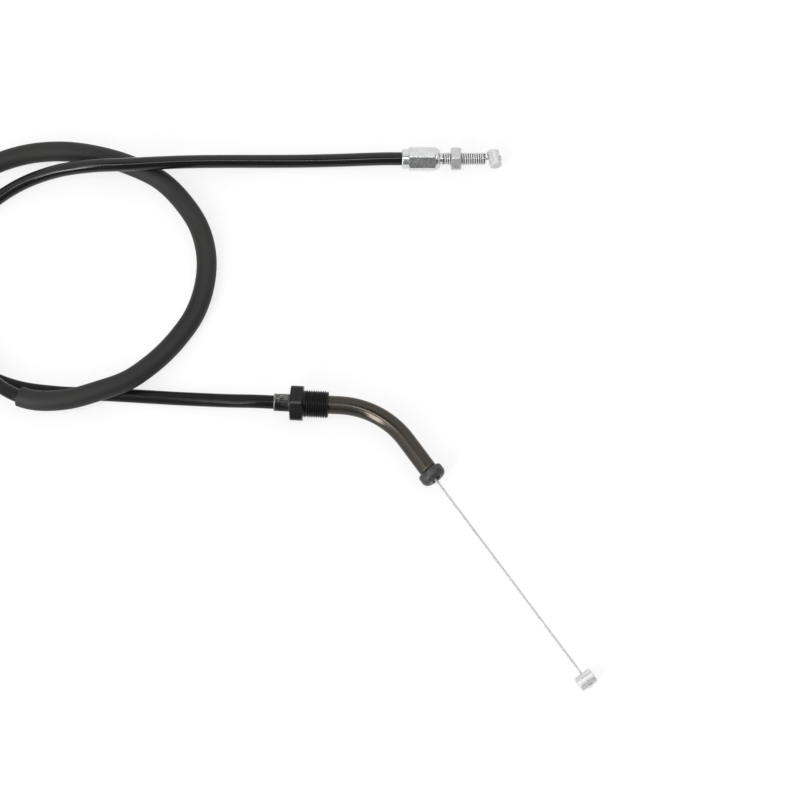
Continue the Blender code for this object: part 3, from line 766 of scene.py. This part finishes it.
def modifier_mesh(name, tree, inputs, base=None):
    """The mesh that a geometry tree makes from a base mesh and the values of its inputs."""
    holder = bpy.data.objects.new(name, base or bpy.data.meshes.new(name))
    bpy.context.scene.collection.objects.link(holder)
    maker = holder.modifiers.new(name, "NODES")
    maker.node_group = tree
    for item in tree.interface.items_tree:
        if item.item_type == "SOCKET" and item.in_out == "INPUT" and item.name in inputs:
            maker[item.identifier] = inputs[item.name]
    bpy.context.view_layer.update()
    graph = bpy.context.evaluated_depsgraph_get()
    mesh = bpy.data.meshes.new_from_object(holder.evaluated_get(graph))
    mesh.name = name
    bpy.data.objects.remove(holder)
    return mesh


class Maker(Nodes):
    """A geometry tree with named inputs."""

    def __init__(self, name, inputs):
        super().__init__(bpy.data.node_groups.new(name, "GeometryNodeTree"))
        kinds = {float: "NodeSocketFloat", int: "NodeSocketInt"}
        face = self.tree.interface
        face.new_socket("Geometry", in_out="INPUT", socket_type="NodeSocketGeometry")
        for label, start in inputs.items():
            kind = "NodeSocketMaterial" if start is None else kinds[type(start)]
            made = face.new_socket(label, in_out="INPUT", socket_type=kind)
            if start is not None:
                made.default_value = start
        face.new_socket("Geometry", in_out="OUTPUT", socket_type="NodeSocketGeometry")
        self.entry = self.tree.nodes.new("NodeGroupInput")

    def given(self, label):
        return Value(self, self.entry.outputs[label])

    def put_out(self, geometry):
        real = self.node("GeometryNodeRealizeInstances", {}, {"Geometry": geometry})
        sockets = {"Geometry": real, "Material": self.given("Material")}
        dressed = self.node("GeometryNodeSetMaterial", {}, sockets)
        end = self.tree.nodes.new("NodeGroupOutput")
        self.tree.links.new(dressed.socket, end.inputs[0])
        return self.tree


def screw_thread_tree():
    """A ridge wound round the Z axis, which runs out at both ends. Depth is out from the core,
    and a negative one cuts in from a bore."""
    sizes = {"Core": 1.0, "Depth": 0.1, "Pitch": 0.1, "Turns": 1.0, "Start": 0.0, "Material": None}
    make = Maker("screw_thread", sizes)
    core, depth, pitch = make.given("Core"), make.given("Depth"), make.given("Pitch")
    turns = make.given("Turns")
    sockets = {
        "Resolution": THREAD_STEPS,
        "Rotations": turns,
        "Start Radius": core,
        "End Radius": core,
        "Height": turns * pitch,
    }
    helix = make.node("GeometryNodeCurveSpiral", {}, sockets)
    upright = make.node("GeometryNodeSetCurveNormal", {"mode": "Z_UP"}, {"Curve": helix})
    share = make.node("GeometryNodeSplineParameter", out="Factor")
    begun = make.math("MAXIMUM", share * turns * RIDGE_GROWTH, RIDGE_END)
    left = make.math("MAXIMUM", (1.0 - share) * turns * RIDGE_GROWTH, RIDGE_END)
    size = make.math("MINIMUM", make.math("MINIMUM", begun, left), 1.0)
    sized = make.node("GeometryNodeSetCurveRadius", {}, {"Curve": upright, "Radius": size})
    corners = {}
    for count, (out, across) in enumerate(RIDGE_CORNERS, 1):
        parts = {"X": depth * -out, "Y": pitch * across}
        corners[f"Point {count}"] = make.node("ShaderNodeCombineXYZ", {}, parts)
    ridge = make.node("GeometryNodeCurvePrimitiveQuadrilateral", {"mode": "POINTS"}, corners)
    sockets = {"Curve": sized, "Profile Curve": ridge, "Fill Caps": True}
    solid = make.node("GeometryNodeCurveToMesh", {}, sockets)
    lift = make.node("ShaderNodeCombineXYZ", {}, {"Z": make.given("Start")})
    raised = {"Geometry": solid, "Translation": lift}
    return make.put_out(make.node("GeometryNodeTransform", {}, raised))


def strand_tree():
    """Strands laid round a line, each a round wire that winds once in every lay."""
    sizes = {"Strands": 7, "Ring": 0.4, "Strand radius": 0.1, "Lay": 9.0, "Step": 0.5}
    make = Maker("laid_strands", {**sizes, "Material": None})
    line = make.node("GeometryNodeMeshToCurve", {}, {"Mesh": make.given("Geometry")})
    sockets = {"Curve": line, "Length": make.given("Step")}
    fine = make.node("GeometryNodeResampleCurve", {"mode": "LENGTH"}, sockets)
    upright = make.node("GeometryNodeSetCurveNormal", {"mode": "Z_UP"}, {"Curve": fine})
    sockets = {"Geometry": upright, "Amount": make.given("Strands")}
    copies = make.node("GeometryNodeDuplicateElements", {"domain": "SPLINE"}, sockets)
    which = Value(make, copies.socket.node.outputs["Duplicate Index"])
    walked = make.node("GeometryNodeSplineParameter", out="Length")
    turn = which / make.given("Strands") + walked / make.given("Lay")
    sockets = {0: make.node("GeometryNodeInputNormal"), "Scale": make.given("Ring")}
    out = make.node("ShaderNodeVectorMath", {"operation": "SCALE"}, sockets)
    tangent = make.node("GeometryNodeInputTangent")
    sockets = {"Vector": out, "Axis": tangent, "Angle": turn * tau}
    offset = make.node("ShaderNodeVectorRotate", {"rotation_type": "AXIS_ANGLE"}, sockets)
    wound = make.node("GeometryNodeSetPosition", {}, {"Geometry": copies, "Offset": offset})
    sockets = {"Resolution": STRAND_STEPS, "Radius": make.given("Strand radius")}
    section = make.node("GeometryNodeCurvePrimitiveCircle", {}, sockets)
    sockets = {"Curve": wound, "Profile Curve": section, "Fill Caps": True}
    return make.put_out(make.node("GeometryNodeCurveToMesh", {}, sockets))


def thread(name, tree, axis, core, depth, pitch, start, end, finish):
    """A screw thread on a straight axis between two distances along it. Attributes: root_shade is
    1 on its root, which is painted dark as painted shade, and crest_highlight is 1 on its tip,
    which is painted pale as a painted highlight."""
    sizes = {"Core": core, "Depth": depth, "Pitch": pitch, "Start": start}
    mesh = modifier_mesh(name, tree, {**sizes, "Turns": (end - start) / pitch, "Material": finish})
    root_shade = mesh.attributes.new("root_shade", "FLOAT", "POINT")
    crest_highlight = mesh.attributes.new("crest_highlight", "FLOAT", "POINT")
    # Tips get a painted highlight and roots painted shade, by how far out each point lies
    for root, tip, vert in zip(root_shade.data, crest_highlight.data, mesh.vertices):
        tip.value = min(1.0, max(0.0, (vert.co.xy.length - core) / depth))
        root.value = 1.0 - tip.value
    mesh.shade_smooth()
    mesh.set_sharp_from_angle(angle=SHARP_ANGLE)
    mesh.transform(axis.frame(axis.length / 2) @ Matrix.Translation((0, 0, -axis.length / 2)))
    return mesh


def strands(name, tree, axis, start, end, finish):
    """A laid strand on an axis between two distances along it, round a plain core."""
    ring = WIRE_RADIUS - STRAND_RADIUS
    base = bpy.data.meshes.new(name + "_line")
    points = [axis.point(s) for s in steps_between(start, end, 2 * MM)]
    base.from_pydata(points, [(k, k + 1) for k in range(len(points) - 1)], [])
    sizes = {"Strands": STRANDS, "Ring": ring, "Strand radius": STRAND_RADIUS}
    sizes.update({"Lay": STRAND_LAY, "Step": 0.5 * MM, "Material": finish})
    laid = modifier_mesh(name + "_laid", tree, sizes, base)
    laid.shade_smooth()
    heart = [(start, 0.0), (start, ring), (end, ring), (end, 0.0)]
    return joined(name, [laid, swept(name + "_heart", axis, heart, HEART_STEPS)])


def make_camera():
    lens = bpy.data.cameras.new("photograph_view")
    lens.sensor_width = SENSOR_WIDTH
    lens.lens = SENSOR_WIDTH * VIEW_DISTANCE / VIEW_WIDTH
    lens.clip_start = 0.05
    lens.clip_end = 50.0
    back = Vector((0.0, -cos(VIEW_ELEVATION), sin(VIEW_ELEVATION)))
    camera = bpy.data.objects.new("photograph_view", lens)
    camera.location = VIEW_TARGET + back * VIEW_DISTANCE
    camera.rotation_euler = (pi / 2 - VIEW_ELEVATION, 0.0, 0.0)
    bpy.context.scene.collection.objects.link(camera)
    bpy.context.scene.camera = camera


def make_casing(vinyl, rubber, axis):
    """The vinyl-covered casing as one cord, with the sleeve that lies on it."""
    ends = 0.3 * MM
    runs = steps_between(ends, axis.length - ends, 3 * MM)
    outline = [(0.0, 0.0), (0.0, CASING_RADIUS - ends)]
    outline += [(s, CASING_RADIUS) for s in runs]
    outline += [(axis.length, CASING_RADIUS - ends), (axis.length, 0.0)]
    mesh = swept("casing", axis, outline, CORD_STEPS)
    casing = show(mesh, vinyl, "casing", ["casing_sheath"])
    start, end = SLEEVE_START, SLEEVE_START + SLEEVE_LENGTH
    lip = 0.35 * MM
    outline = [(start, SLEEVE_RADIUS - lip)]
    outline += [(s, SLEEVE_RADIUS) for s in steps_between(start + lip, end - lip, 2.5 * MM)]
    outline += [(end, SLEEVE_RADIUS - lip)]
    outline += [(s, SLEEVE_BORE) for s in steps_between(end, start, 5 * MM)]
    mesh = swept("protective_sleeve", axis, outline, CORD_STEPS, closed=True)
    sleeve = show(mesh, rubber, "casing", ["sleeve"])
    path = [tuple(axis.point(s)) for s in steps_between(0.0, axis.length, 4 * MM)]
    tuple(axis.point(0.0))


def make_adjuster(zinc, threads):
    """Collar, hexagon, cone, neck and threaded stud, turned from one bar."""
    corner = ADJUSTER_FLATS / sqrt(3)
    flat = ADJUSTER_FLATS / 2 - HEX_INSET
    cone_start = COLLAR_LENGTH + HEX_LENGTH
    shoulder = cone_start + CONE_LENGTH
    edge = 0.25 * MM
    outline = [(CASING_SEAT, SEAT_RADIUS), (0.4 * MM, SEAT_RADIUS), (0.0, SEAT_RADIUS + edge)]
    outline += [(0.0, COLLAR_RADIUS - 2 * edge)]
    outline += arc(2 * edge, COLLAR_RADIUS - 2 * edge, 2 * edge, -90, 0)
    outline += [(2.2 * edge, COLLAR_RADIUS), (COLLAR_LENGTH, COLLAR_RADIUS)]
    outline += refined([(COLLAR_LENGTH, flat), (COLLAR_LENGTH + 0.5 * MM, corner)])
    outline += refined([(cone_start - HEX_CHAMFER, corner), (cone_start, flat)])
    dome = flat - SHOULDER_RADIUS + 0.4 * MM
    for turned in (15, 30, 45, 60, 75):
        lean = radians(turned)
        outline.append((cone_start + CONE_LENGTH * sin(lean), flat - dome * (1 - cos(lean))))
    outline += [(shoulder, SHOULDER_RADIUS - edge)]
    outline += [(shoulder, NECK_RADIUS + 0.15 * MM)]
    outline += arc(shoulder + 0.15 * MM, NECK_RADIUS + 0.15 * MM, 0.15 * MM, 270, 180, 3)
    outline += [(STUD_START, NECK_RADIUS), (STUD_START + 0.15 * MM, STUD_CORE)]
    tip = ADJUSTER_LENGTH
    outline += [(tip - STUD_CHAMFER, STUD_CORE), (tip, STUD_CORE - 0.3 * MM)]
    outline += [(tip, LINER_BORE + STUD_CHAMFER), (tip - STUD_CHAMFER, LINER_BORE)]
    outline += [(CASING_SEAT, LINER_BORE)]
    hexagon = (ADJUSTER_FLATS, ADJUSTER_CLOCKING)
    body = swept("adjuster", stud_axis, outline, HEX_STEPS, hexagon, STUD_CORE, closed=True)
    ridge = thread(
        "stud_thread", threads, stud_axis, STUD_CORE, STUD_RADIUS - STUD_CORE, STUD_PITCH,
        STUD_START + STUD_CHAMFER, tip - 0.4 * MM, zinc,
    )
    show(joined("threaded_adjuster", [body, ridge]), zinc, "casing", ["adjuster_body"])


def make_lock_nut(zinc, threads):
    """A thin hexagon nut, chamfered on both faces, with a thread in its bore."""
    corner = ADJUSTER_FLATS / sqrt(3)
    rim = ADJUSTER_FLATS / 2 - NUT_RIM
    start, end = NUT_ALONG, NUT_ALONG + NUT_THICKNESS
    edge = 0.4 * MM
    outline = [(end, NUT_BORE + edge)]
    outline += refined([(end, rim), (end - NUT_CHAMFER, corner)])
    outline += refined([(start + NUT_CHAMFER, corner), (start, rim)])
    outline += [(start, NUT_BORE + edge), (start + edge, NUT_BORE), (end - edge, NUT_BORE)]
    hexagon = (ADJUSTER_FLATS, NUT_CLOCKING)
    body = swept("nut", stud_axis, outline, HEX_STEPS, hexagon, closed=True)
    ridge = thread(
        "nut_thread", threads, stud_axis, NUT_BORE, -NUT_THREAD_DEPTH, STUD_PITCH,
        start + NUT_THREAD_INSET, end - NUT_THREAD_INSET, zinc,
    )
    show(joined("hex_lock_nut", [body, ridge]), zinc, "lock_nut", ["lock_nut"])


def make_union(oxide, threads):
    """A hexagon, a relief groove, a fine thread and a plain pilot, bored for the pipe."""
    corner = UNION_FLATS / sqrt(3)
    flat = UNION_FLATS / 2 - HEX_INSET
    start = UNION_ALONG
    bore = PIPE_RADIUS + GAP
    front = start + UNION_HEX
    relief = front + UNION_RELIEF
    pilot = relief + UNION_THREAD
    end = pilot + UNION_PILOT
    edge = 0.25 * MM
    outline = [(end, bore + edge), (end, UNION_PILOT_RADIUS - 2 * edge)]
    outline += arc(end - 2 * edge, UNION_PILOT_RADIUS - 2 * edge, 2 * edge, 90, 0)
    outline += [(pilot + 0.1 * MM, UNION_PILOT_RADIUS), (pilot, UNION_CORE)]
    outline += [(relief + 0.2 * MM, UNION_CORE), (relief, UNION_RELIEF_RADIUS)]
    outline += arc(front + 0.2 * MM, UNION_RELIEF_RADIUS + 0.2 * MM, 0.2 * MM, 180, 270, 3)
    outline += refined([(front, flat), (front - HEX_CHAMFER, corner)])
    outline += refined([(start + HEX_CHAMFER, corner), (start, flat)])
    outline += [(start, bore + edge), (start + edge, bore), (end - edge, bore)]
    hexagon = (UNION_FLATS, UNION_CLOCKING)
    body = swept("union", pipe_axis, outline, HEX_STEPS, hexagon, UNION_CORE, closed=True)
    inlet = straight_axis(pipe_point(0.0), pipe_point(PIPE_INLET) - pipe_point(0.0), PIPE_INLET)
    ridge = thread(
        "union_thread", threads, inlet, UNION_CORE, UNION_THREAD_RADIUS - UNION_CORE, UNION_PITCH,
        relief + 0.1 * MM, pilot - 0.05 * MM, oxide,
    )
    show(joined("threaded_union", [body, ridge]), oxide, "union", ["union_nut"])


def make_pipe(nickel):
    """The bent pipe, with the socket at its inlet rolled in on the casing."""
    lip = 0.3 * MM
    outline = [(PIPE_SEAT, SEAT_RADIUS), (0.2 * MM, SEAT_RADIUS), (0.0, SEAT_RADIUS + 0.1 * MM)]
    outline += arc(lip, SWAGE_RADIUS - lip, lip, -90, 0)
    outline += [(1.1 * MM, SWAGE_RADIUS), (1.3 * MM, SWAGE_RADIUS - 0.12 * MM)]
    outline += [(1.6 * MM, SWAGE_RADIUS - 0.12 * MM), (1.8 * MM, SWAGE_RADIUS)]
    outline += [(SWAGE_LENGTH - 0.6 * MM, SWAGE_RADIUS), (SWAGE_LENGTH, PIPE_RADIUS)]
    outline += [(s, PIPE_RADIUS) for s in steps_between(PIPE_INLET / 2, PIPE_LENGTH - lip, 1 * MM)]
    outline += arc(PIPE_LENGTH - lip, PIPE_RADIUS - lip, lip, 30, 90, 3)
    outline += [(s, PIPE_BORE) for s in steps_between(PIPE_LENGTH, PIPE_SEAT + 0.2 * MM, 2 * MM)]
    mesh = swept("bent_guide_pipe", pipe_axis, outline, TUBE_STEPS, closed=True)
    show(mesh, nickel, "casing", ["guide_pipe"])


def make_cap(plastic):
    """A rounded head over the pipe's mouth, its hole, and the spigot inside the pipe."""
    top = GAP + CAP_LENGTH
    mouth = 1.8 * MM
    spigot = PIPE_BORE - GAP
    foot = 0.9 * MM
    outline = [(top - 2.2 * MM, LINER_BORE), (top - 0.9 * MM, LINER_BORE + 0.2 * MM)]
    outline += arc(top - 0.3 * MM, mouth + 0.3 * MM, 0.3 * MM, 180, 90, 3)
    outline += arc(top - CAP_ROUNDING, CAP_RADIUS - CAP_ROUNDING, CAP_ROUNDING, 90, 0, 10)
    outline += arc(GAP + foot, CAP_RADIUS - foot, foot, 0, -90, 6)
    outline += [(GAP, spigot), (-CAP_SPIGOT, spigot), (-CAP_SPIGOT, LINER_BORE)]
    mesh = swept("mouth_cap", outlet_axis, outline, TUBE_STEPS, closed=True)
    inside = outlet_axis.frame(top - 1.8 * MM)
    upward = inside.to_3x3() @ Vector((0.0, sin(MOUTH_LEAN), cos(MOUTH_LEAN)))
    lean_axis = straight_axis(inside.translation, upward, 6 * MM)
    slot = [(0.0, 0.0), (0.0, 1.5 * MM), (0.4 * MM, 1.9 * MM), (6 * MM, 2.3 * MM), (6 * MM, 0.0)]
    mesh = cut(mesh, swept("mouth_slot", lean_axis, slot, SLOT_STEPS))
    show(mesh, plastic, "casing", ["pipe_cap"])


def make_nipple(name, axis, along, shape, cast, solder, body):
    """A cast barrel across the wire, with the soldered pit that the wire ends in. shape is its
    radius, its roll about the wire and its skew from square to it."""
    radius, roll, skew = shape
    place = axis.frame(along)
    across = place @ Matrix.Rotation(pi / 2 + roll, 4, "Z") @ Matrix.Rotation(skew, 4, "X")
    direction = across.to_3x3() @ Vector((0.0, 1.0, 0.0))
    half = NIPPLE_LENGTH / 2
    barrel_axis = straight_axis(place.translation - direction * half, direction, NIPPLE_LENGTH)
    edge = 0.45 * MM
    outline = [(0.0, 0.0), (0.0, radius * 0.5)]
    outline += arc(edge, radius - edge, edge, -90, 0, 6)
    outline += arc(NIPPLE_LENGTH - edge, radius - edge, edge, 0, 90, 6)
    outline += [(NIPPLE_LENGTH, radius * 0.5), (NIPPLE_LENGTH, 0.0)]
    barrel = swept(name, barrel_axis, outline, BARREL_STEPS)
    far = radius / cos(skew)
    beyond = far + 1 * MM
    pit = [
        (along + beyond, 0.0),
        (along + beyond, SOLDER_RADIUS + 0.25 * MM),
        (along + far - 0.2 * MM, SOLDER_RADIUS),
        (along + far - SOLDER_DEPTH, LINER_BORE),
        (along - far + 0.5 * MM, LINER_BORE),
        (along - beyond, LINER_BORE + 0.9 * MM),
        (along - beyond, 0.0),
    ]
    barrel = cut(barrel, swept(name + "_pit", axis, pit, SOLDER_STEPS))
    show(barrel, cast, body, [name.replace("barrel", "nipple")])
    crown = along + far + SOLDER_DOME
    brim = SOLDER_RADIUS - 0.12 * MM
    bead = [(crown, 0.0)]
    bead += [(crown - SOLDER_DOME * s**2.2, brim * s) for s in (0.25, 0.5, 0.75, 0.9, 1.0)]
    foot = along + far - SOLDER_DEPTH
    bead += [(along + far - 0.5 * MM, brim * 0.85), (foot, WIRE_RADIUS), (foot, 0.0)]
    node = name.replace("barrel", "solder")
    show(swept(node + "_bead", axis, bead, SOLDER_STEPS), solder, body, [node])
    return foot


def make_wire_ends(steel, cast, solder):
    """The strand that shows at either end of the cable, with its nipple."""
    tree = strand_tree()
    reach = ADJUSTER_LENGTH + CARB_NIPPLE_REACH
    shape = (CARB_NIPPLE_RADIUS, CARB_NIPPLE_ROLL, CARB_NIPPLE_SKEW)
    tip = make_nipple("carb_barrel", stud_axis, reach, shape, cast, solder, "carb_wire")
    start = ADJUSTER_LENGTH - CARB_WIRE_HIDDEN
    mesh = strands("carb_wire_strand", tree, stud_axis, start, tip, steel)
    show(mesh, steel, "carb_wire", ["carb_wire_end"])
    mouth = GAP + CAP_LENGTH
    reach = mouth + GRIP_WIRE_FREE
    shape = (GRIP_NIPPLE_RADIUS, GRIP_NIPPLE_ROLL, 0.0)
    tip = make_nipple("grip_barrel", outlet_axis, reach, shape, cast, solder, "grip_wire")
    mesh = strands("grip_wire_strand", tree, outlet_axis, mouth - GRIP_WIRE_HIDDEN, tip, steel)
    show(mesh, steel, "grip_wire", ["grip_wire_end"])


def dress_hidden_nodes(steel, liner):
    """The layers inside the casing keep their solids and get their finishes."""
    finishes = {"casing_conduit": steel, "inner_wire": steel, "casing_liner": liner}
    for name, finish in finishes.items():
        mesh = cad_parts[name].data
        mesh.materials.clear()
        mesh.materials.append(finish)


def add_softbox(name, place, size, level):
    """A flat lamp that faces the middle of the layout. level is its brightness as seen."""
    lamp = bpy.data.lights.new(name, "AREA")
    lamp.shape = "RECTANGLE"
    lamp.size, lamp.size_y = size
    lamp.energy = level * pi * size[0] * size[1]
    made = bpy.data.objects.new(name, lamp)
    made.location = place
    made.rotation_euler = (VIEW_TARGET - Vector(place)).to_track_quat("-Z", "Y").to_euler()
    bpy.context.scene.collection.objects.link(made)


def make_floor():
    """A plain pale floor. It shows near white to the camera and in reflections, with its
    shadows kept, and lights the pieces above it only as a pale matt floor does."""
    mesh = bpy.data.meshes.new("floor")
    plate = bmesh.new()
    bmesh.ops.create_circle(plate, cap_ends=True, segments=TUBE_STEPS, radius=FLOOR_RADIUS)
    plate.to_mesh(mesh)
    plate.free()
    floor = bpy.data.objects.new("floor", mesh)
    floor.location = (0.0, 0.0, -FLOOR_DROP)
    bpy.context.scene.collection.objects.link(floor)
    paper = bpy.data.materials.new("floor_paper")
    paper.use_nodes = True
    make = Nodes(paper.node_tree)
    paper.node_tree.nodes.clear()
    path = make.node("ShaderNodeLightPath", out="Is Camera Ray")
    rays = path.socket.node.outputs
    seen = path + Value(make, rays["Is Glossy Ray"]) + Value(make, rays["Is Transmission Ray"])
    spot = make.node("ShaderNodeTexCoord", out="Object")
    fibre = make.node("ShaderNodeTexNoise", {}, {"Vector": spot, "Scale": 900.0})
    pale = 0.25 + fibre.part_of(0.3, 0.7) * 0.02
    plain = make.node("ShaderNodeBsdfDiffuse", {}, {"Color": pale})
    glow = make.node("ShaderNodeEmission", {}, {"Color": shade(1.0), "Strength": FLOOR_GLOW})
    whitened = make.node("ShaderNodeAddShader", {}, {0: plain, 1: glow})
    mixed = make.node("ShaderNodeMixShader", {}, {0: seen, 1: plain, 2: whitened})
    make.node("ShaderNodeOutputMaterial", {}, {"Surface": mixed})
    mesh.materials.append(paper)


def light_scene():
    world = bpy.data.worlds.new("studio")
    world.use_nodes = True
    ground = world.node_tree.nodes["Background"]
    ground.inputs["Color"].default_value = shade(1.0)
    ground.inputs["Strength"].default_value = WORLD_LEVEL
    bpy.context.scene.world = world
    for name, lamp in LAMPS.items():
        add_softbox(name, *lamp)
    bpy.context.scene.view_settings.view_transform = "Standard"


make_camera()
make_casing(make_vinyl(), make_sleeve_rubber(), casing_axis())
threads = screw_thread_tree()
bright_zinc = make_zinc("bright_zinc", drawn=(40.0, 1600.0, 1600.0), metal=0.95, level=0.73)
make_adjuster(bright_zinc, threads)
satin_zinc = make_zinc("satin_zinc", drawn=(1600.0, 60.0, 60.0), metal=0.5, level=0.60)
make_lock_nut(satin_zinc, threads)
make_union(make_black_oxide(), threads)
make_pipe(make_black_nickel())
make_cap(make_cap_plastic())
wire_steel = make_wire_steel()
make_wire_ends(wire_steel, make_cast_metal(), make_solder())
dress_hidden_nodes(wire_steel, make_liner_plastic())
make_floor()
light_scene()
